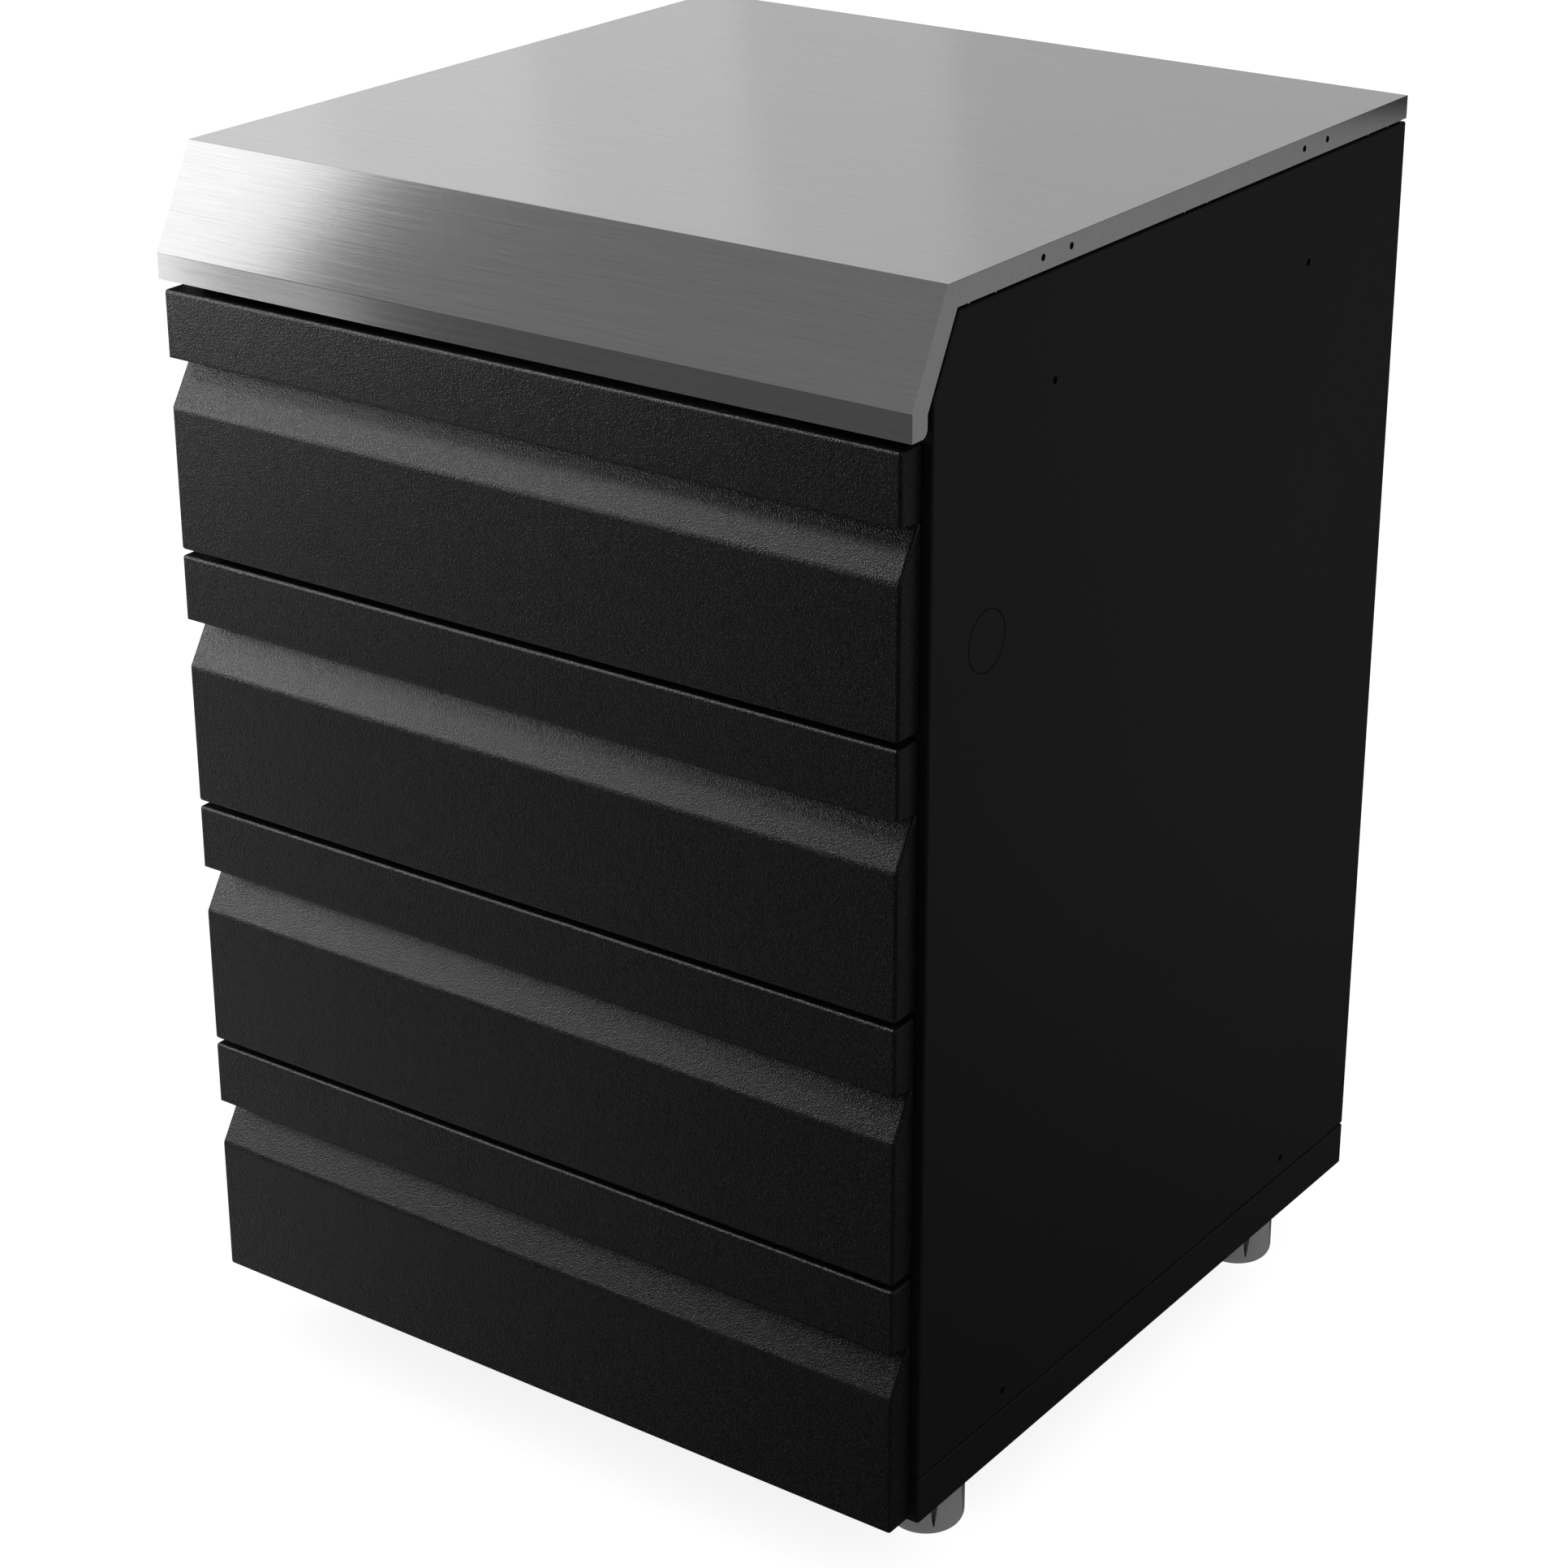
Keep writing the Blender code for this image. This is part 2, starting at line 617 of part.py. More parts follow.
def slide_member(name, side, web, lip_end, half_height, length):
    """One slide member, a web and two lips. Distances run inwards from the uprights."""
    way = 1 if lip_end > web else -1
    path = [(lip_end, -way * half_height), (web, -way * half_height),
            (web, way * half_height), (lip_end, way * half_height)]
    outline = [(side * (SLIDE_FACE - away), height, radius)
               for away, height, radius in sheet_outline(path, SLIDE_SHEET, 0)]
    return shared_mesh(slab(name, outline, "Y", 0, length))


def slide_meshes(name, side):
    """The outer, middle and inner members, nested with room for the balls between them."""
    outer_half = SLIDE_HEIGHT / 2
    middle_half = outer_half - SLIDE_SHEET - SLIDE_BALL_GAP
    inner_half = middle_half - SLIDE_SHEET - SLIDE_BALL_GAP
    middle_reach = SLIDE_THICKNESS - SLIDE_SHEET - SLIDE_LIP_GAP
    outer = slide_member(f"slide_outer_{name}", side, 0, middle_reach, outer_half, SLIDE_LENGTH)
    middle = slide_member(f"slide_middle_{name}", side, SLIDE_NEST_STEP, middle_reach,
                          middle_half, SLIDE_LENGTH - SLIDE_MIDDLE_SHORTER)
    inner = slide_member(f"slide_inner_{name}", side, SLIDE_THICKNESS, 2 * SLIDE_NEST_STEP,
                         inner_half, SLIDE_LENGTH)
    return outer, middle, inner


def drawers(cabinet):
    front_mesh = drawer_front_mesh()
    band_mesh = drawer_band_mesh()
    box_mesh = drawer_box_mesh()
    slides = {name: slide_meshes(name, side) for name, side in SIDES}
    for number in range(1, DRAWERS + 1):
        lower_edge = FRONTS_BOTTOM + (DRAWERS - number) * DRAWER_PITCH
        place = (0, FRONT, lower_edge)
        drawer = anchor(f"drawer_{number}", place)
        middle_body = anchor(f"drawer_{number}_middle", place)
        for name, mesh in (("front", front_mesh), ("band", band_mesh)):
            sheet = new_object(f"drawer_{name}_{number}", mesh)
            paint(sheet, TEXTURED_BLACK)
            fit(sheet, drawer)
        box = new_object(f"drawer_box_{number}", box_mesh)
        paint(box, SATIN_BLACK)
        fit(box, drawer, (0, BOX_FRONT - FRONT, BOX_RISE))
        for name, (outer, middle, inner) in slides.items():
            along = Vector((0, SLIDE_FRONT - FRONT, SLIDE_RISE))
            for kind, mesh, body, base in (
                    ("outer", outer, cabinet, Vector(place)),
                    ("middle", middle, middle_body, Vector((0, 0, 0))),
                    ("inner", inner, drawer, Vector((0, 0, 0)))):
                made = new_object(f"slide_{kind}_{number}_{name}", mesh)
                paint(made, ZINC)
                fit(made, body, base + along)


# ---------------------------------------------------------------- feet
def foot_pad_mesh():
    """A plastic foot. Its notches give the fingers or a hook spanner a grip."""
    bore = SPINDLE_RADIUS + TOUCH
    edge = [(FOOT_RADIUS - FOOT_EDGE + FOOT_EDGE * math.cos(turn),
             FOOT_EDGE - FOOT_EDGE * math.sin(turn))
            for turn in (math.radians(15) * step for step in range(7))]
    profile = [
        (bore, FOOT_PAD_HEIGHT),
        (FOOT_RADIUS - FOOT_CHAMFER, FOOT_PAD_HEIGHT),
        (FOOT_RADIUS, FOOT_PAD_HEIGHT - FOOT_CHAMFER),
        *edge,
        (0, 0),
    ]
    pad = turned("foot_pad", [(0, SPINDLE_BOTTOM), (bore, SPINDLE_BOTTOM), *profile])
    height = FOOT_PAD_HEIGHT - NOTCH_BOTTOM
    wedge = [(0, NOTCH_BOTTOM), (NOTCH_WIDTH, NOTCH_BOTTOM + 2 * height),
             (-NOTCH_WIDTH, NOTCH_BOTTOM + 2 * height)]
    for notch in range(FOOT_NOTCHES):
        tool = slab("notch", wedge, "Y", FOOT_RADIUS - NOTCH_DEPTH, FOOT_RADIUS + NOTCH_DEPTH)
        turn = NOTCH_TURN + math.tau * notch / FOOT_NOTCHES
        tool.data.transform(Matrix.Rotation(turn, 4, "Z"))
        cut(pad, tool)
    mesh = shared_mesh(pad)
    smooth(mesh)
    return mesh


def feet(cabinet):
    """Each foot is a pad with a threaded spindle, which screws into a socket in the base pan."""
    roof = BASE + PAN_HEIGHT - PAN_SHEET - TOUCH
    mouth = roof - SOCKET_HEIGHT
    ceiling = roof - SOCKET_ROOF
    bore = SPINDLE_RADIUS + TOUCH
    pad_mesh = foot_pad_mesh()
    spindle_mesh = shared_mesh(turned("foot_spindle", [
        (0, mouth + SPINDLE_ENGAGED), (SPINDLE_RADIUS, mouth + SPINDLE_ENGAGED),
        (SPINDLE_RADIUS, SPINDLE_BOTTOM + TOUCH), (0, SPINDLE_BOTTOM + TOUCH)]))
    socket_mesh = shared_mesh(turned("foot_socket", [
        (0, roof), (SOCKET_RADIUS, roof), (SOCKET_RADIUS, mouth),
        (bore, mouth), (bore, ceiling), (0, ceiling)]))
    for mesh in (spindle_mesh, socket_mesh):
        smooth(mesh)
    for name, place in foot_places():
        foot = anchor(f"foot_{name}", place)
        for kind, mesh, material, body, spot in (
                ("pad", pad_mesh, GREY_PLASTIC, foot, (0, 0, 0)),
                ("spindle", spindle_mesh, ZINC, foot, (0, 0, 0)),
                ("socket", socket_mesh, ZINC, cabinet, place)):
            made = new_object(f"foot_{kind}_{name}", mesh)
            paint(made, material)
            fit(made, body, spot)


def build():
    cabinet = anchor("cabinet", (0, 0, 0))
    worktop_cover(cabinet)
    worktop_rails(cabinet)
    for name, side in SIDES:
        side_panel(cabinet, name, side)
    back_panel(cabinet)
    base_pan(cabinet)
    uprights(cabinet)
    drawers(cabinet)
    feet(cabinet)


build()
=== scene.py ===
"""Four-drawer steel cabinet with a brushed stainless worktop cover, on levelling feet."""
import json
import math

import bmesh
import bpy
from mathutils import Euler, Matrix, Vector

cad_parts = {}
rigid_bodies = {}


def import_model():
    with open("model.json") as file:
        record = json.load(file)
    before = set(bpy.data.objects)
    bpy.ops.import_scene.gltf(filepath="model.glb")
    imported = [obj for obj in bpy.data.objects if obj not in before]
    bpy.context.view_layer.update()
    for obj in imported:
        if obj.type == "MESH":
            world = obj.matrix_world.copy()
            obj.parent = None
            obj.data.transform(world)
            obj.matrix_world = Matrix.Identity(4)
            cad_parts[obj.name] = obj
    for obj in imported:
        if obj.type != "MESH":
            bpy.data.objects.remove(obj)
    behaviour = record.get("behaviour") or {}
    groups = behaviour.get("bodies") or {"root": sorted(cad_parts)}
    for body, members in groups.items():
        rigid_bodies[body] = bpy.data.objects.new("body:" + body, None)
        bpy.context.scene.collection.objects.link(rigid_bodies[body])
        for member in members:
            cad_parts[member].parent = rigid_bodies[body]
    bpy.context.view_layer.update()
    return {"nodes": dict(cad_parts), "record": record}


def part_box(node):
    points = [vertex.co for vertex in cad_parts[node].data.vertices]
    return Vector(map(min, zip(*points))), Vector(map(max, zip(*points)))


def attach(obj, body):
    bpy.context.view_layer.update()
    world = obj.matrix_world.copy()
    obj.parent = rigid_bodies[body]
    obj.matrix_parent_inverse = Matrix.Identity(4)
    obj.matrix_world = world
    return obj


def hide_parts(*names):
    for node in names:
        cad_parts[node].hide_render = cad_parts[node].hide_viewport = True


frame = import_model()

SIDES = (("left", -1), ("right", 1))
DRAWERS = (1, 2, 3, 4)

# ---------------------------------------------------------------- sizes, in metres
SLOPE_RUN = 0.036            # the sloping front of the worktop cover
SLOPE_HEIGHT = 0.069
COVER_FLANGE = 0.016
COVER_SHEET = 0.0015
COVER_BEND = 0.0022
LIP_RETURN = 0.010
FLANGE_CORNER = 0.006
FLANGE_HOLE_RADIUS = 0.0023
FLANGE_HOLE_DROP = 0.0075
FLANGE_PAIR_HALF = 0.1625
FLANGE_HOLE_HALF = 0.016
DRILL_LENGTH = 0.01

PANEL_SHEET = 0.0012
PANEL_BEND = 0.0016
SLOPE_SEAM = 0.003
SIDE_HOLE_RADIUS = 0.0025
TOP_HOLE_DROP = 0.088        # below the worktop
TOP_HOLE_HALF = 0.161        # either side of the middle of the panel
LOW_HOLE_RISE = 0.016        # above the base pan
LOW_HOLE_HALF = 0.1935
KNOCKOUT_RADIUS = 0.020
KNOCKOUT_LINE = 0.0008       # width and depth of the groove round the knock-out
KNOCKOUT_DROP = 0.235        # below the worktop
KNOCKOUT_SETBACK = 0.0625    # behind the front edge of the panel
PAN_SHEET = 0.0015

FRONT_BEND = 0.0024          # outer radius of the folds of a drawer front
FRONT_SHEET = 0.0015
BAND_HEM = 0.008
RECESS_HEIGHT = 0.034
WALL_END_GAP = 0.0003        # the wall behind the band, inside the end plates
WALL_TOP_GAP = 0.002
WALL_LAP = 0.001             # how far the wall runs down into the slope
BOX_SHEET = 0.0010
BOX_HEM = 0.006
BOX_BEND = 0.0015

SOLE_EDGE = 0.008
PAD_EDGE = 0.0018
NOTCHES = 6
NOTCH_TURN = 16              # degrees, to the first notch
NOTCH_HALF = 0.009           # half the width of a notch at the top
NOTCH_DEPTH = 0.0065
NOTCH_BOTTOM = 0.009
NOTCH_TOP = 0.071            # past the top of the pad
NOTCH_POINT = 0.06           # width of a notch's lower end, as a share of its top

THREAD_DEPTH = 0.0005
THREAD_PITCH = 0.0015
NUT_LOW = 0.031              # above the lower end of the spindle
NUT_HEIGHT = 0.005
NUT_RADIUS = 0.0085
NUT_EDGE = 0.0004

# ---------------------------------------------------------------- light, and its places
SEEN_LIGHT = 1.0             # strength of the room as the camera sees it
MATT_LIGHT = 0.45            # and as it falls on matt surfaces
GLOSS_LIGHT = 0.03           # and as it shows in glossy ones
FLOOR_GLOW = 0.85
COVER_CENTRE = (0, 0, 0.85)
CASING_CENTRE = (0, 0, 0.6)
LOW_FRONT = (0, -0.3, 0.26)
HIGH_FRONT = (-0.1, -0.3, 0.5)

# ---------------------------------------------------------------- places, from the frame
COVER_LOW, COVER_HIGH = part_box("worktop_cover")
HALF_WIDTH = COVER_HIGH.x
LIP_FACE, REAR = COVER_LOW.y, COVER_HIGH.y
LIP_BOTTOM, TOP = COVER_LOW.z, COVER_HIGH.z
LIP_TOP = TOP - SLOPE_HEIGHT
SLOPE_TOP = LIP_FACE + SLOPE_RUN
PANEL_LOW, PANEL_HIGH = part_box("right_side_panel")
PANEL_MIDDLE = (PANEL_LOW.y + PANEL_HIGH.y) / 2
PAN_LOW, PAN_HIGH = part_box("base_pan")


# ---------------------------------------------------------------- modelling tools
def take(piece):
    """Leave just one piece selected and active."""
    bpy.ops.object.select_all(action="DESELECT")
    piece.select_set(True)
    bpy.context.view_layer.objects.active = piece


def settle(name):
    """Name a new primitive, and put its place into its mesh."""
    piece = bpy.context.object
    piece.name = name
    piece.data.name = name
    bpy.ops.object.transform_apply(location=True, rotation=True, scale=True)
    return piece


def plane(name, centre, size, turn=(0, 0, 0)):
    bpy.ops.object.select_all(action="DESELECT")
    bpy.ops.mesh.primitive_plane_add(size=1, location=centre, rotation=turn)
    bpy.context.object.scale = (size[0], size[1], 1)
    return settle(name)


def cube(name, low, high):
    bpy.ops.object.select_all(action="DESELECT")
    low, high = Vector(low), Vector(high)
    bpy.ops.mesh.primitive_cube_add(size=1, location=(low + high) / 2)
    bpy.context.object.scale = high - low
    return settle(name)


TURNS = {"X": (0, math.pi / 2, 0), "Y": (math.pi / 2, 0, 0), "Z": (0, 0, 0)}


def cylinder(name, centre, radius, depth, axis="Z", sides=32, ends="NGON"):
    bpy.ops.object.select_all(action="DESELECT")
    bpy.ops.mesh.primitive_cylinder_add(vertices=sides, radius=radius, depth=depth, location=centre,
                                        rotation=TURNS[axis], end_fill_type=ends)
    return settle(name)


def begin(piece):
    take(piece)
    bpy.ops.object.mode_set(mode="EDIT")


def end():
    bpy.ops.object.mode_set(mode="OBJECT")


def middle(element):
    if isinstance(element, bmesh.types.BMFace):
        return element.calc_center_median()
    if isinstance(element, bmesh.types.BMEdge):
        return (element.verts[0].co + element.verts[1].co) / 2
    return element.co


def pick(kind, test):
    """In edit mode, select the faces, edges or corners that pass a test."""
    bpy.ops.mesh.select_mode(type=kind)
    bpy.ops.mesh.select_all(action="DESELECT")
    mesh = bpy.context.object.data
    shape = bmesh.from_edit_mesh(mesh)
    group = {"FACE": shape.faces, "EDGE": shape.edges, "VERT": shape.verts}[kind]
    for element in group:
        if test(element):
            element.select_set(True)
    bmesh.update_edit_mesh(mesh)


def near(value, target, reach=2e-5):
    return abs(value - target) < reach


def move(x, y, z):
    bpy.ops.transform.translate(value=(x, y, z))


def draw_on(x, y, z):
    """Extrude the selected edges by a step."""
    bpy.ops.mesh.extrude_edges_move(TRANSFORM_OT_translate={"value": (x, y, z)})


def is_fold(edge):
    return len(edge.link_faces) == 2 and edge.calc_face_angle() > math.radians(15)


def round_off(offset, segments=4, kind="EDGES"):
    bpy.ops.mesh.bevel(offset=offset, segments=segments, profile=0.5, affect=kind, clamp_overlap=True)


def weld():
    bpy.ops.mesh.select_all(action="SELECT")
    bpy.ops.mesh.remove_doubles(threshold=0.00005)


def use(piece, kind, **settings):
    """Add a modifier to the piece and apply it."""
    take(piece)
    step = piece.modifiers.new(kind.lower(), kind)
    for name, value in settings.items():
        setattr(step, name, value)
    bpy.ops.object.modifier_apply(modifier=step.name)


def thicken(piece, sheet):
    use(piece, "SOLIDIFY", thickness=sheet, offset=-1, use_even_offset=True)


def cut(piece, *tools):
    for tool in tools:
        use(piece, "BOOLEAN", object=tool, operation="DIFFERENCE", solver="EXACT")
        bpy.data.objects.remove(tool)


def drill(piece, place, radius):
    """A round hole along X."""
    cut(piece, cylinder("drill", place, radius, DRILL_LENGTH, "X"))


def join(first, *others):
    bpy.ops.object.select_all(action="DESELECT")
    for piece in (first, *others):
        piece.select_set(True)
    bpy.context.view_layer.objects.active = first
    bpy.ops.object.join()
    return first


def smooth(piece, degrees=35):
    """Shade the bends round and keep the wide faces flat."""
    take(piece)
    bpy.ops.object.shade_smooth_by_angle(angle=math.radians(degrees))
    use(piece, "WEIGHTED_NORMAL", keep_sharp=True, mode="FACE_AREA")


def copied(piece, name, step, turn=None):
    """A copy with its own mesh, moved by a step, or turned about the origin first."""
    made = piece.copy()
    made.data = piece.data.copy()
    made.name = name
    made.data.name = name
    bpy.context.scene.collection.objects.link(made)
    if turn is not None:
        made.data.transform(turn)
    made.data.transform(Matrix.Translation(step))
    return made


def dress(piece, finish):
    piece.data.materials.clear()
    piece.data.materials.append(finish)


def fit(piece, body, finish, slot, *nodes):
    """Give a piece its finish and its body, and let it stand for its CAD nodes."""
    dress(piece, finish)
    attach(piece, body)
    if nodes:
        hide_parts(*nodes)


# ---------------------------------------------------------------- finishes
class Amount:
    """A number that changes over a surface. Sums and products of it add their Math nodes."""

    def __init__(self, finish, socket):
        self.finish, self.socket = finish, socket

    def with_other(self, operation, other, swapped=False):
        pair = (other, self) if swapped else (self, other)
        return self.finish.add("Math", {"operation": operation}, *pair)

    def __add__(self, other):
        return self.with_other("ADD", other)

    def __radd__(self, other):
        return self.with_other("ADD", other, True)

    def __sub__(self, other):
        return self.with_other("SUBTRACT", other)

    def __rsub__(self, other):
        return self.with_other("SUBTRACT", other, True)

    def __mul__(self, other):
        return self.with_other("MULTIPLY", other)

    def __rmul__(self, other):
        return self.with_other("MULTIPLY", other, True)

    def __pow__(self, other):
        return self.with_other("POWER", other)

    def __gt__(self, other):
        return self.with_other("GREATER_THAN", other)


class Finish:
    """A material whose nodes are added one at a time."""

    def __init__(self, name, metallic, **fixed):
        self.material = bpy.data.materials.new(name)
        self.material.use_nodes = True
        self.tree = self.material.node_tree
        self.shader = self.tree.nodes["Principled BSDF"]
        self.shader.inputs["Metallic"].default_value = metallic
        for socket, value in fixed.items():
            self.shader.inputs[socket.replace("_", " ")].default_value = value
        self.place = self.add("TexCoord", {}, output="Object")

    def add(self, kind, settings, *values, output=0, **named):
        """Add a node, give it its settings, then fill its sockets by number or by name."""
        node = self.tree.nodes.new("ShaderNode" + kind)
        for name, value in settings.items():
            setattr(node, name, value)
        sockets = list(zip(node.inputs, values))
        sockets += [(node.inputs[name.replace("_", " ")], value) for name, value in named.items()]
        for socket, value in sockets:
            if isinstance(value, Amount):
                self.tree.links.new(value.socket, socket)
            else:
                socket.default_value = value
        return Amount(self, node.outputs[output])

    def stretched(self, x, y, z):
        """Object coordinates, counted x, y and z times to the metre."""
        return self.add("Mapping", {}, self.place, Scale=(x, y, z))

    def noise(self, place, scale=1.0, detail=2.0, roughness=0.5):
        return self.add("TexNoise", {}, Vector=place, Scale=scale, Detail=detail, Roughness=roughness)

    def connect(self, socket, value):
        """Let a changing amount drive a socket of the shader."""
        self.tree.links.new(value.socket, self.shader.inputs[socket])

    def colour(self, low, high, share):
        """A base colour between two, by share."""
        node = self.tree.nodes.new("ShaderNodeMix")
        node.data_type = "RGBA"
        node.inputs[6].default_value = (*low, 1)
        node.inputs[7].default_value = (*high, 1)
        self.tree.links.new(share.socket, node.inputs[0])
        self.tree.links.new(node.outputs[2], self.shader.inputs["Base Color"])

    def bump(self, height, strength, distance):
        self.connect("Normal", self.add("Bump", {}, Height=height, Strength=strength, Distance=distance))


def brushed_stainless():
    """Stainless sheet with a fine grain along its width, turned down over the side flanges."""
    finish = Finish("brushed_stainless", 1.0)
    fine = finish.noise(finish.stretched(25, 2600, 2600), detail=2)
    long_lines = finish.noise(finish.stretched(3, 900, 900), detail=3)
    across = finish.noise(finish.stretched(2600, 2600, 30), detail=3)
    normal = finish.add("NewGeometry", {}, output="Normal")
    sideways = finish.add("SeparateXYZ", {}, normal, output="X")
    on_flange = finish.add("Math", {"operation": "ABSOLUTE"}, sideways) > 0.8
    grain = fine * (1 - on_flange) + across * on_flange
    cloud = finish.noise(finish.place, scale=2.2, detail=2)
    finish.connect("Roughness", 0.10 + long_lines * 0.04 + cloud * 0.02)
    finish.colour((0.42, 0.42, 0.425), (0.70, 0.70, 0.705), long_lines * 0.4 + grain * 0.6)
    finish.bump(grain, 0.2, 0.00008)
    return finish.material


def satin_black_coat():
    """Smooth satin powder coat, with a slight orange peel."""
    finish = Finish("satin_black_coat", 0.0)
    peel = finish.noise(finish.place, scale=420, detail=2)
    cloud = finish.noise(finish.place, scale=3.5, detail=3)
    finish.connect("Roughness", 0.44 + cloud * 0.10)
    finish.colour((0.0055, 0.0055, 0.0058), (0.0095, 0.0095, 0.0100), cloud)
    finish.bump(peel, 0.10, 0.00030)
    return finish.material


def textured_black_coat():
    """Powder coat with a fine dry texture, and a few grains that catch the light."""
    finish = Finish("textured_black_coat", 0.0)
    sand = finish.noise(finish.place, scale=1100, detail=1, roughness=0.6)
    lumps = finish.noise(finish.place, scale=380, detail=2)
    cloud = finish.noise(finish.place, scale=5, detail=2)
    bright = sand ** 5.0
    finish.connect("Roughness", 0.27 + lumps * 0.08)
    finish.colour((0.0030, 0.0030, 0.0032), (0.080, 0.080, 0.082), bright + cloud * 0.02)
    finish.bump(sand * 0.8 + lumps * 0.2, 0.7, 0.0007)
    return finish.material


def zinc_plate():
    """Bright zinc on rolled steel, with faint cloudy patches."""
    finish = Finish("zinc_plate", 1.0)
    cloud = finish.noise(finish.place, scale=38, detail=4, roughness=0.6)
    rolled = finish.noise(finish.stretched(900, 18, 900), detail=3)
    finish.connect("Roughness", 0.28 + cloud * 0.16)
    finish.colour((0.50, 0.52, 0.55), (0.70, 0.70, 0.70), cloud * 0.7 + rolled * 0.3)
    finish.bump(rolled, 0.15, 0.00015)
    return finish.material


def grey_plastic():
    """Matt moulded plastic."""
    finish = Finish("grey_plastic", 0.0)
    grain = finish.noise(finish.place, scale=900, detail=2)
    cloud = finish.noise(finish.place, scale=30, detail=3)
    finish.connect("Roughness", 0.46 + cloud * 0.14)
    finish.colour((0.30, 0.30, 0.31), (0.38, 0.38, 0.385), cloud)
    finish.bump(grain, 0.15, 0.00025)
    return finish.material


BRUSHED = brushed_stainless()
SATIN = satin_black_coat()
TEXTURED = textured_black_coat()
ZINC = zinc_plate()
PLASTIC = grey_plastic()


# ---------------------------------------------------------------- worktop cover
def mitred(points, width):
    """The fold line of a flange: each point moved in by width, square to the sheet."""
    moved = []
    for index, point in enumerate(points):
        here = Vector(point)
        ways = []
        if index:
            ways.append((here - Vector(points[index - 1])).normalized())
        if index < len(points) - 1:
            ways.append((Vector(points[index + 1]) - here).normalized())
        normals = [Vector((way.y, -way.x)) for way in ways]
        push = sum(normals, Vector((0, 0)))
        if len(normals) == 2:
            push = push / (1 + normals[0].dot(normals[1]))
        moved.append(here + push * width)
    return moved


def worktop_cover():
    """Folded from one sheet: lip, slope, top and rear flange, with a flange down each side."""
    width = 2 * HALF_WIDTH
    lip = (LIP_FACE, LIP_BOTTOM)
    cover = plane("worktop_cover_sheet", (0, LIP_FACE + LIP_RETURN / 2, LIP_BOTTOM), (width, LIP_RETURN),
                  (math.pi, 0, 0))
    profile = [lip, (LIP_FACE, LIP_TOP), (SLOPE_TOP, TOP), (REAR, TOP)]
    begin(cover)
    pick("EDGE", lambda edge: near(middle(edge).y, LIP_FACE) and near(middle(edge).x, 0))
    for (y, z), (next_y, next_z) in zip(profile, profile[1:]):
        draw_on(0, next_y - y, next_z - z)
    draw_on(0, 0, -COVER_FLANGE)

    def beside(edge):
        place = middle(edge)
        return (near(abs(place.x), HALF_WIDTH) and place.z > LIP_BOTTOM + 0.001
                and not near(place.z, TOP - COVER_FLANGE / 2))
    pick("EDGE", beside)
    draw_on(0, 0, -COVER_FLANGE)
    for (y, z), target in zip(profile, mitred(profile, COVER_FLANGE)):
        pick("VERT", lambda vert, y=y, z=z: (near(abs(vert.co.x), HALF_WIDTH) and near(vert.co.y, y)
                                             and near(vert.co.z, z - COVER_FLANGE)))
        move(0, target.x - y, target.y - z + COVER_FLANGE)
    inner = mitred(profile, COVER_FLANGE)[0]
    pick("VERT", lambda vert: near(vert.co.y, inner.x) and near(vert.co.z, inner.y))
    round_off(FLANGE_CORNER, 6, "VERTICES")
    weld()
    bpy.ops.mesh.normals_make_consistent(inside=False)
    pick("EDGE", is_fold)
    round_off(COVER_BEND, 5)
    end()
    thicken(cover, COVER_SHEET)
    for pair in (-1, 1):
        for hole in (-1, 1):
            along = PANEL_MIDDLE + pair * FLANGE_PAIR_HALF + hole * FLANGE_HOLE_HALF
            for _, side in SIDES:
                drill(cover, (side * HALF_WIDTH, along, TOP - FLANGE_HOLE_DROP), FLANGE_HOLE_RADIUS)
    smooth(cover)
    fit(cover, "cabinet", BRUSHED, "brushed_stainless", "worktop_cover")


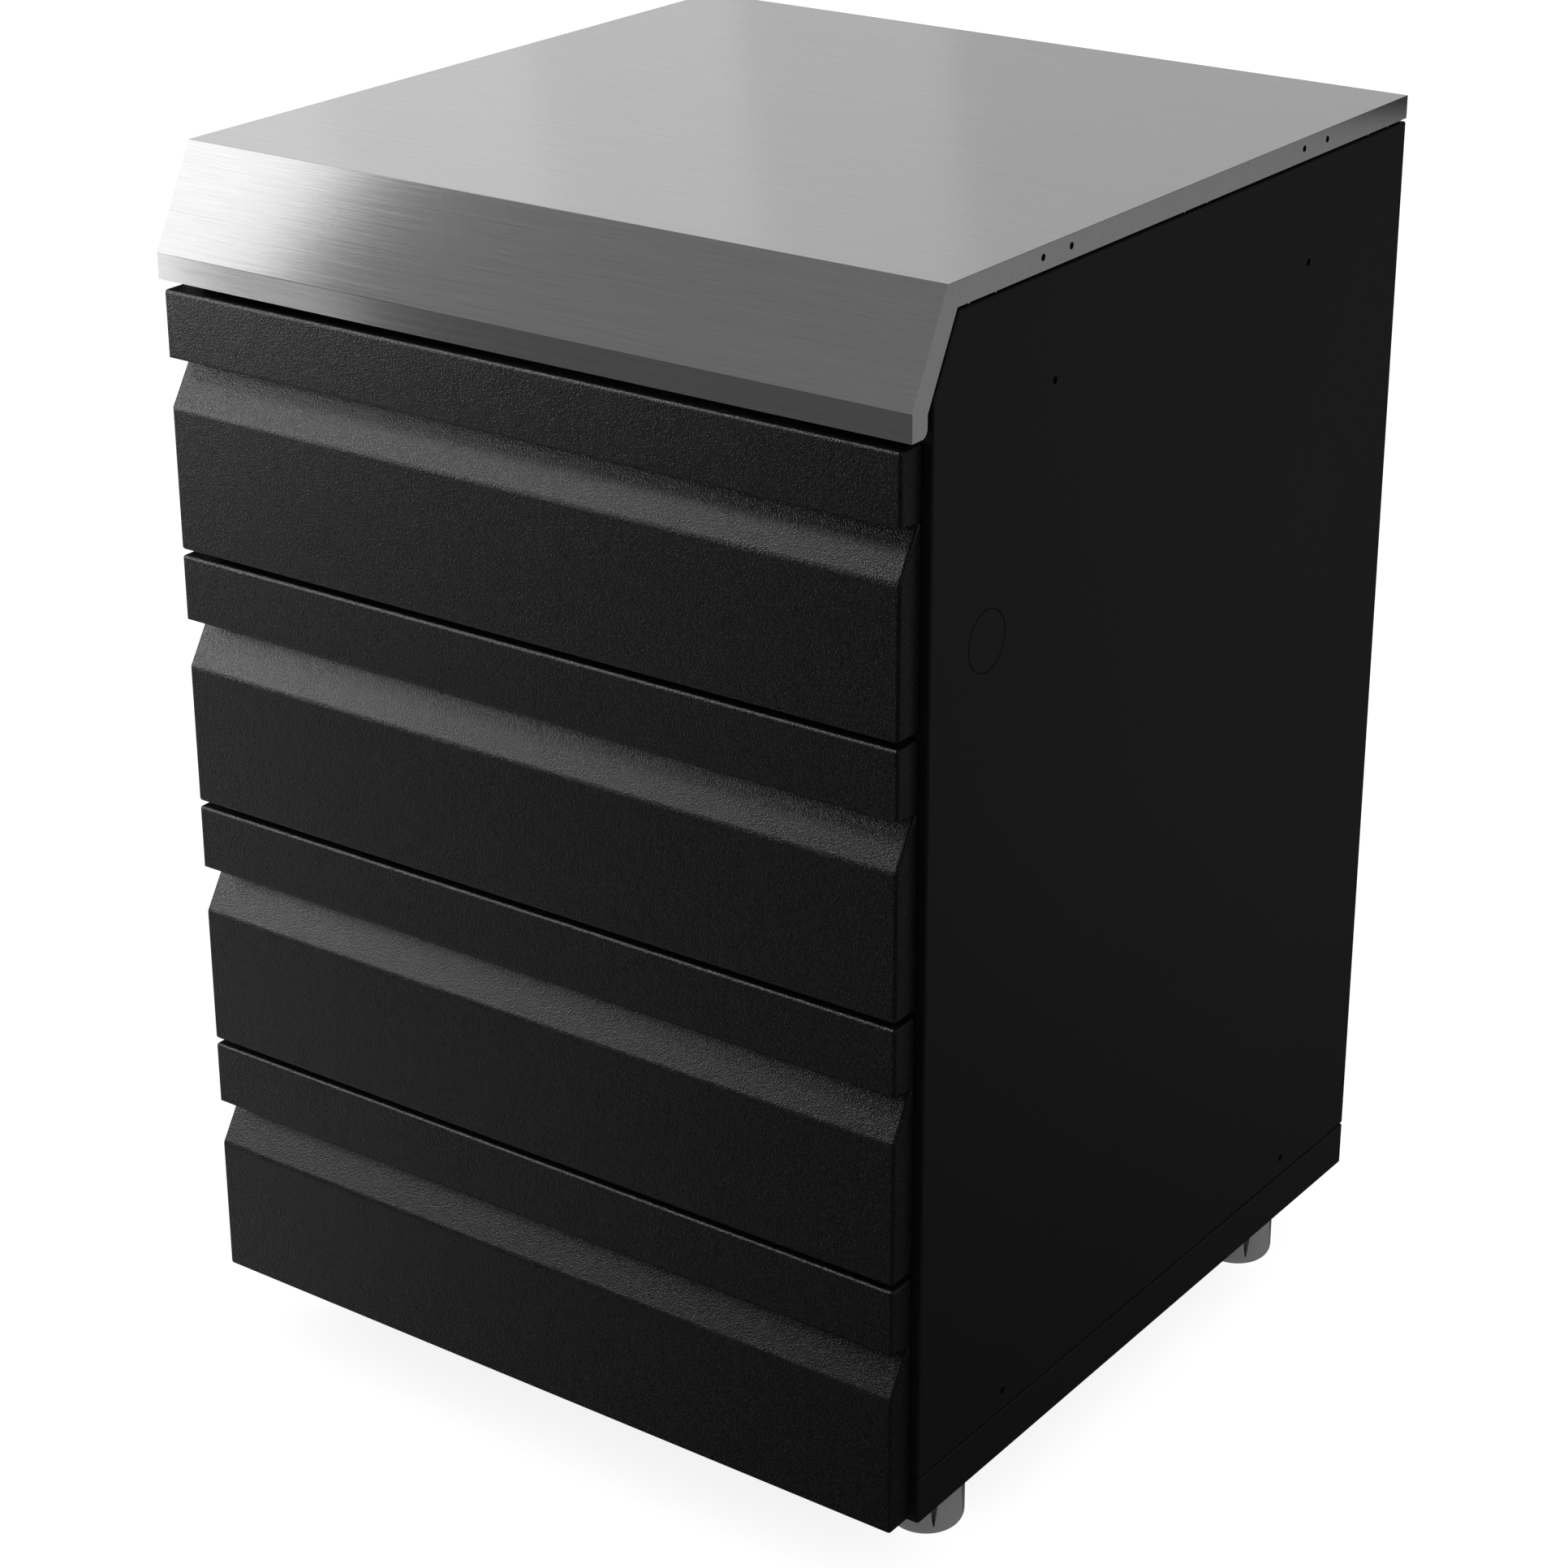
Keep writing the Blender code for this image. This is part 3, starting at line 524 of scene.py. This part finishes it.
# ---------------------------------------------------------------- casing
def side_panel(name, side):
    """A folded pan with its top front corner cut back along the slope of the cover."""
    low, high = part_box(f"{name}_side_panel")
    face = side * HALF_WIDTH
    turn = Matrix(((0, 0, side), (side, 0, 0), (0, 1, 0))).to_euler()
    panel = plane(f"{name}_side_sheet", (face, (low.y + high.y) / 2, (low.z + high.z) / 2),
                  (high.y - low.y, high.z - low.z), turn)
    run = Vector((-SLOPE_RUN, -SLOPE_HEIGHT))
    inner = mitred([(LIP_FACE, LIP_TOP), (SLOPE_TOP, TOP), (REAR, TOP)], COVER_FLANGE)[1]
    on_slope = inner + Vector((SLOPE_SEAM * run.length / SLOPE_HEIGHT, 0))
    begin(panel)
    bpy.ops.mesh.select_all(action="SELECT")
    bpy.ops.mesh.bisect(plane_co=(0, on_slope.x, on_slope.y), plane_no=(0, -SLOPE_HEIGHT, SLOPE_RUN),
                        clear_outer=True)
    pick("EDGE", lambda edge: len(edge.link_faces) == 1)
    draw_on(-side * (high.x - low.x), 0, 0)
    bpy.ops.mesh.select_all(action="SELECT")
    bpy.ops.mesh.normals_make_consistent(inside=False)
    pick("EDGE", is_fold)
    round_off(PANEL_BEND, 4)
    end()
    thicken(panel, PANEL_SHEET)
    top_pair = (TOP - TOP_HOLE_DROP, TOP_HOLE_HALF)
    low_pair = (PAN_HIGH.z + LOW_HOLE_RISE, LOW_HOLE_HALF)
    for height, half in (top_pair, low_pair):
        for way in (-1, 1):
            drill(panel, (face, PANEL_MIDDLE + way * half, height), SIDE_HOLE_RADIUS)
    centre = (face, low.y + KNOCKOUT_SETBACK, TOP - KNOCKOUT_DROP)
    ring = cylinder("knockout_line", centre, KNOCKOUT_RADIUS, 2 * KNOCKOUT_LINE, "X", 72, "NOTHING")
    use(ring, "SOLIDIFY", thickness=KNOCKOUT_LINE, offset=1)
    cut(panel, ring)
    smooth(panel)
    fit(panel, "cabinet", SATIN, "satin_black_coat", f"{name}_side_panel")


def base_pan():
    """The floor of the cabinet, folded down all round."""
    centre = (PAN_LOW + PAN_HIGH) / 2
    size = PAN_HIGH - PAN_LOW
    pan = plane("base_pan_sheet", (centre.x, centre.y, PAN_HIGH.z), (size.x, size.y))
    begin(pan)
    pick("EDGE", lambda edge: True)
    draw_on(0, 0, -size.z)
    pick("EDGE", is_fold)
    round_off(PANEL_BEND, 4)
    end()
    thicken(pan, PAN_SHEET)
    smooth(pan)
    fit(pan, "cabinet", SATIN, "satin_black_coat", "base_pan")


# ---------------------------------------------------------------- drawers
def drawer_front(number):
    """Panel, slope, and a band hung over the wall behind it."""
    low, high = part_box(f"drawer_front_{number}")
    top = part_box(f"drawer_band_{number}")[1].z
    band_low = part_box(f"drawer_band_{number}")[0].z
    half = high.x
    wall = high.y - FRONT_SHEET
    lower = cube(f"drawer_front_sheet_{number}", low, (half, high.y, band_low))
    begin(lower)
    bpy.ops.mesh.select_all(action="SELECT")
    slope = Vector((0, -RECESS_HEIGHT, wall - low.y))
    bpy.ops.mesh.bisect(plane_co=(0, wall, band_low), plane_no=slope, clear_outer=True, use_fill=True)
    pick("EDGE", lambda edge: is_fold(edge) and not near(middle(edge).y, high.y)
         and not near(middle(edge).z, band_low))
    round_off(FRONT_BEND, 5)
    end()
    inside = half - FRONT_SHEET - WALL_END_GAP
    wall_sheet = cube("wall_sheet", (-inside, wall, band_low - WALL_LAP),
                      (inside, high.y, top - WALL_TOP_GAP))
    use(lower, "BOOLEAN", object=wall_sheet, operation="UNION", solver="EXACT")
    bpy.data.objects.remove(wall_sheet)

    band = cube("band", (-half, low.y, band_low), (half, high.y, top))
    begin(band)
    pick("FACE", lambda face: near(middle(face).z, band_low) or near(middle(face).y, high.y))
    bpy.ops.mesh.delete(type="FACE")
    pick("EDGE", lambda edge: near(middle(edge).y, low.y) and near(middle(edge).z, band_low))
    draw_on(0, BAND_HEM, 0)
    pick("EDGE", is_fold)
    round_off(FRONT_BEND, 5)
    end()
    thicken(band, FRONT_SHEET)
    join(lower, band)
    smooth(lower)
    fit(lower, f"drawer_{number}", TEXTURED, "textured_black_coat", f"drawer_front_{number}",
        f"drawer_band_{number}")


def drawer_box(number):
    """An open box of thin sheet, with its rims folded in and down."""
    low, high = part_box(f"drawer_box_{number}")
    centre, size = (low + high) / 2, high - low
    box = plane(f"drawer_box_sheet_{number}", (centre.x, centre.y, low.z), (size.x, size.y))
    begin(box)
    pick("EDGE", lambda edge: True)
    draw_on(0, 0, size.z)
    draw_on(0, 0, 0)
    bpy.ops.transform.resize(value=((size.x - 2 * BOX_HEM) / size.x, (size.y - 2 * BOX_HEM) / size.y, 1),
                             center_override=(centre.x, centre.y, high.z))
    draw_on(0, 0, -BOX_HEM)
    bpy.ops.mesh.select_all(action="SELECT")
    bpy.ops.mesh.normals_make_consistent(inside=False)
    pick("EDGE", is_fold)
    round_off(BOX_BEND, 3)
    end()
    thicken(box, BOX_SHEET)
    smooth(box)
    fit(box, f"drawer_{number}", SATIN, "satin_black_coat", f"drawer_box_{number}")


# ---------------------------------------------------------------- feet
def foot_pad():
    """A solid plastic foot with a rounded sole and grip notches round it."""
    low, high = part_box("foot_pad_front_left")
    radius, height = (high.x - low.x) / 2, high.z - low.z
    pad = cylinder("foot_pad_body", (0, 0, height / 2), radius, height, sides=72)
    begin(pad)
    pick("EDGE", lambda edge: is_fold(edge) and near(middle(edge).z, 0))
    round_off(SOLE_EDGE, 7)
    pick("EDGE", lambda edge: is_fold(edge) and near(middle(edge).z, height))
    round_off(PAD_EDGE, 3)
    end()
    for notch in range(NOTCHES):
        turn = math.radians(NOTCH_TURN + 360 / NOTCHES * notch)
        wedge = cube("wedge", (-NOTCH_HALF, radius - NOTCH_DEPTH, NOTCH_BOTTOM),
                     (NOTCH_HALF, radius + NOTCH_DEPTH, NOTCH_TOP))
        begin(wedge)
        pick("VERT", lambda vert: near(vert.co.z, NOTCH_BOTTOM))
        bpy.ops.transform.resize(value=(NOTCH_POINT, 1, 1), center_override=(0, radius, NOTCH_BOTTOM))
        end()
        wedge.data.transform(Matrix.Rotation(turn + math.pi / 2, 4, "Z"))
        cut(pad, wedge)
    smooth(pad, 30)
    return pad


def threaded_spindle():
    """A stud with ridged thread, and a thin lock nut under the socket."""
    low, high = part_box("foot_spindle_front_left")
    radius, length = (high.x - low.x) / 2, high.z - low.z
    stud = cylinder("threaded_spindle", (0, 0, length / 2), radius - THREAD_DEPTH, length, sides=32)
    bpy.ops.object.select_all(action="DESELECT")
    bpy.ops.mesh.primitive_torus_add(location=(0, 0, THREAD_PITCH), major_segments=32, minor_segments=6,
                                     major_radius=radius - THREAD_DEPTH, minor_radius=THREAD_DEPTH)
    ridge = settle("thread_ridge")
    use(ridge, "ARRAY", count=int(length / THREAD_PITCH) - 1, use_relative_offset=False,
        use_constant_offset=True, constant_offset_displace=(0, 0, THREAD_PITCH))
    nut = cylinder("lock_nut", (0, 0, NUT_LOW + NUT_HEIGHT / 2), NUT_RADIUS, NUT_HEIGHT, sides=6)
    begin(nut)
    pick("EDGE", is_fold)
    round_off(NUT_EDGE, 2)
    end()
    join(stud, ridge, nut)
    smooth(stud, 40)
    return stud


def feet():
    """One pad and one spindle, copied to the four corners."""
    master = foot_pad()
    spindle = threaded_spindle()
    for end_name in ("front", "rear"):
        for name, _ in SIDES:
            low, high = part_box(f"foot_pad_{end_name}_{name}")
            centre = (low + high) / 2
            body = f"foot_{end_name}_{name}"
            pad = copied(master, f"foot_pad_body_{end_name}_{name}", (centre.x, centre.y, low.z))
            fit(pad, body, PLASTIC, "grey_plastic", f"foot_pad_{end_name}_{name}")
            stud_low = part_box(f"foot_spindle_{end_name}_{name}")[0].z
            stud = copied(spindle, f"threaded_spindle_{end_name}_{name}", (centre.x, centre.y, stud_low))
            fit(stud, body, ZINC, "zinc_plate", f"foot_spindle_{end_name}_{name}")
    bpy.data.objects.remove(master)
    bpy.data.objects.remove(spindle)


# ---------------------------------------------------------------- the whole cabinet
worktop_cover()
for side_name, side_way in SIDES:
    side_panel(side_name, side_way)
base_pan()
for drawer in DRAWERS:
    drawer_front(drawer)
    drawer_box(drawer)
feet()

# the CAD nodes that stay take the finish of their slot
KEPT = {"zinc_plate": ZINC, "satin_black_coat": SATIN}
for part in frame["record"]["subparts"]:
    node = frame["nodes"][part["node"]]
    if not node.hide_render:
        dress(node, KEPT[part["material_slot"]])


# ---------------------------------------------------------------- studio
def floor():
    """A pale floor that shades nothing and shows in nothing."""
    bpy.ops.object.select_all(action="DESELECT")
    bpy.ops.mesh.primitive_plane_add(size=60, location=(0, 0, -0.0005))
    ground = settle("floor")
    finish = Finish("pale_floor", 0.0, Base_Color=(0.80, 0.80, 0.80, 1), Roughness=0.9,
                    Emission_Color=(1, 1, 1, 1), Emission_Strength=FLOOR_GLOW)
    dress(ground, finish.material)
    ground.visible_glossy = False
    ground.visible_diffuse = False
    ground.visible_shadow = False


def softbox(name, place, target, width, height, strength, receivers):
    """A soft rectangular light aimed at a point, for one collection of pieces."""
    lamp = bpy.data.lights.new(name, "AREA")
    lamp.shape = "RECTANGLE"
    lamp.size, lamp.size_y = width, height
    lamp.energy = strength * width * height * math.pi
    light = bpy.data.objects.new(name, lamp)
    light.visible_camera = False
    light.location = place
    light.rotation_euler = (Vector(target) - Vector(place)).to_track_quat("-Z", "Y").to_euler()
    bpy.context.scene.collection.objects.link(light)
    light.light_linking.receiver_collection = receivers


def around(azimuth, elevation, distance, centre):
    """A place seen from the centre: azimuth 0 is in front, and 90 is to the left."""
    turn, rise = math.radians(azimuth), math.radians(elevation)
    way = Vector((-math.sin(turn) * math.cos(rise), -math.cos(turn) * math.cos(rise), math.sin(rise)))
    return Vector(centre) + way * distance


def card(name, azimuth, elevation, distance, centre, width, height, strength, receivers):
    """A softbox that stands round a centre and is aimed at it."""
    place = around(azimuth, elevation, distance, centre)
    softbox(name, place, centre, width, height, strength, receivers)


def room():
    """Even light for the floor and the matt surfaces, and a dim room for the gloss."""
    world = bpy.data.worlds.new("studio")
    bpy.context.scene.world = world
    world.use_nodes = True
    tree = world.node_tree
    nodes, links = tree.nodes, tree.links
    nodes.clear()
    path = nodes.new("ShaderNodeLightPath")
    seen = nodes.new("ShaderNodeBackground")
    seen.inputs["Color"].default_value = (1, 1, 1, 1)
    seen.inputs["Strength"].default_value = SEEN_LIGHT
    matt = nodes.new("ShaderNodeBackground")
    matt.inputs["Strength"].default_value = MATT_LIGHT
    gloss = nodes.new("ShaderNodeBackground")
    gloss.inputs["Strength"].default_value = GLOSS_LIGHT
    first = nodes.new("ShaderNodeMixShader")
    second = nodes.new("ShaderNodeMixShader")
    out = nodes.new("ShaderNodeOutputWorld")
    links.new(path.outputs["Is Glossy Ray"], first.inputs[0])
    links.new(matt.outputs[0], first.inputs[1])
    links.new(gloss.outputs[0], first.inputs[2])
    links.new(path.outputs["Is Camera Ray"], second.inputs[0])
    links.new(first.outputs[0], second.inputs[1])
    links.new(seen.outputs[0], second.inputs[2])
    links.new(second.outputs[0], out.inputs["Surface"])


def lights():
    """Cards that show in the steel and the zinc, and soft lights for all but the cover."""
    steel = bpy.data.collections.new("steel_only")
    steel.objects.link(bpy.data.objects["worktop_cover_sheet"])
    for piece in bpy.data.objects:
        if piece.type == "MESH" and piece.active_material == ZINC:
            steel.objects.link(piece)
    black = bpy.data.collections.new("all_but_steel")
    for piece in bpy.data.objects:
        if piece.type == "MESH" and piece.name not in ("worktop_cover_sheet", "floor"):
            black.objects.link(piece)
    softbox("left_window", (-1.63, -0.955, 1.37), (-0.90, -0.275, 1.37), 1.0, 2.66, 1.72, steel)
    softbox("left_low_strip", (-1.237, -1.393, 0.28), (-0.30, -0.305, 0.60), 0.14, 0.46, 0.52, steel)
    card("front_card", 12, 32, 3.0, COVER_CENTRE, 3.4, 1.6, 0.20, steel)
    card("front_low_card", 15, -10, 2.6, COVER_CENTRE, 2.6, 1.2, 0.08, steel)
    card("back_card", 150, 14, 3.2, COVER_CENTRE, 3.4, 1.8, 0.50, steel)
    for step in range(6):
        card("back_left_card", 97 + 6 * step, 14, 2.8, COVER_CENTRE, 2.2, 1.8, 0.09, steel)
    card("right_low_card", -144, -18, 1.5, COVER_CENTRE, 2.4, 0.5, 0.24, steel)
    card("right_card", -80, 10, 3.0, COVER_CENTRE, 2.4, 2.2, 0.28, steel)
    card("front_right_card", -42, 14, 3.0, COVER_CENTRE, 2.6, 1.6, 0.45, steel)
    card("front_high_card", 0, 62, 2.6, COVER_CENTRE, 3.0, 1.4, 0.45, steel)
    softbox("left_soft", (-1.3, -0.68, -0.1), (-0.1, -0.3, -0.1), 0.5, 2.2, 0.8, black)
    card("slope_soft", 62, 26, 1.5, LOW_FRONT, 0.6, 0.6, 6.4, black)
    card("ceiling_soft", 57, 55, 1.7, HIGH_FRONT, 0.5, 0.5, 14.0, black)
    card("right_soft", -95, 30, 3.0, CASING_CENTRE, 1.4, 1.6, 0.9, black)
    softbox("right_rear_soft", (1.7, 2.2, 0.0), (0.3, 0.2, 0.0), 0.9, 2.3, 0.20, black)
    card("rear_soft", 170, 35, 3.0, CASING_CENTRE, 1.6, 1.6, 1.6, black)


def camera():
    """In front of the cabinet, to its right and above it."""
    lens = bpy.data.cameras.new("camera")
    lens.sensor_width = 36
    lens.lens = 84.66
    lens.shift_y = -0.0419
    made = bpy.data.objects.new("camera", lens)
    bpy.context.scene.collection.objects.link(made)
    down, round_left, roll = 0.3960, 0.6235, -0.0023
    turn = Euler((math.pi / 2 - down, 0, round_left)).to_matrix()
    made.rotation_euler = (turn @ Matrix.Rotation(roll, 3, "Z")).to_euler()
    made.location = (1.4158, -1.9829, 1.4801)
    bpy.context.scene.camera = made


floor()
room()
lights()
camera()
bpy.context.scene.view_settings.view_transform = "Standard"
